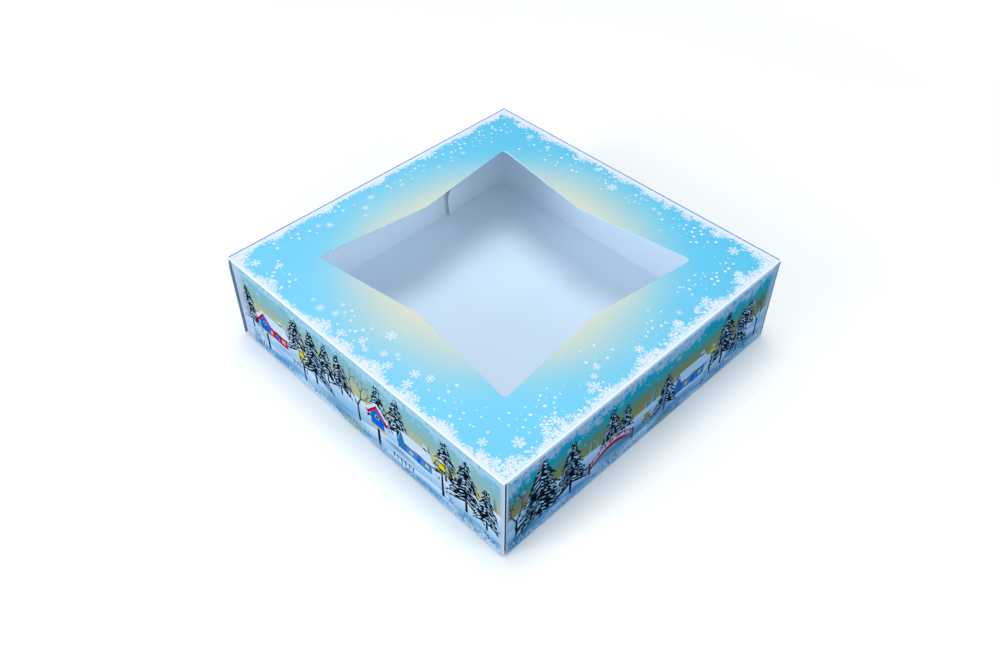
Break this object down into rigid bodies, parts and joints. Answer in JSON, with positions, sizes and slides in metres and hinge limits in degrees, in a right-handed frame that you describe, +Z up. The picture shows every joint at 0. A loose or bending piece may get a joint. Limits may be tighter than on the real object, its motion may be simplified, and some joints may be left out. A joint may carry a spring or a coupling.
{
  "type": "window bakery box",
  "caption": "Square folding carton for bakery goods: shallow tray with a hinged, full-depth lid, fold-down flaps with tuck ears, and a star-shaped window closed by clear film.",
  "frame": {"origin": "middle of the box's footprint, on the surface it stands on", "axes": "+Z up, through the lid; +Y towards the back wall, which carries the lid's hinge crease; -Y towards the front flap; +X towards the right flap"},
  "size_m": [0.23, 0.23, 0.0625],
  "materials": {
    "white_board": "matte, uncoated white",
    "printed_board": "printed, satin varnish",
    "clear_film": "clear, glossy"
  },
  "bodies": {
    "tray": {"tray_bottom": "white_board", "tray_front_wall": "white_board", "tray_back_wall": "printed_board", "tray_left_wall": "white_board", "tray_right_wall": "white_board", "back_left_tab": "white_board", "back_right_tab": "white_board", "front_left_tab": "white_board", "front_right_tab": "white_board"},
    "lid": {"lid_top": "printed_board", "window_film": "clear_film"},
    "left_flap": {"lid_left_flap": "printed_board"},
    "right_flap": {"lid_right_flap": "printed_board"},
    "front_flap": {"lid_front_flap": "printed_board", "left_ear": "printed_board", "right_ear": "printed_board"}
  },
  "joints": [
    {"name": "lid_hinge", "type": "hinge", "parent": "tray", "child": "lid", "pos_m": [0, 0.115, 0.0625], "axis": [-1, 0, 0], "range_deg": [0, 192]},
    {"name": "left_flap_crease", "type": "hinge", "parent": "lid", "child": "left_flap", "pos_m": [-0.115, 0, 0.0625], "axis": [0, 1, 0], "range_deg": [0, 90]},
    {"name": "right_flap_crease", "type": "hinge", "parent": "lid", "child": "right_flap", "pos_m": [0.115, 0, 0.0625], "axis": [0, -1, 0], "range_deg": [0, 90]},
    {"name": "front_flap_crease", "type": "hinge", "parent": "lid", "child": "front_flap", "pos_m": [0, -0.115, 0.0625], "axis": [-1, 0, 0], "range_deg": [0, 90]}
  ]
}
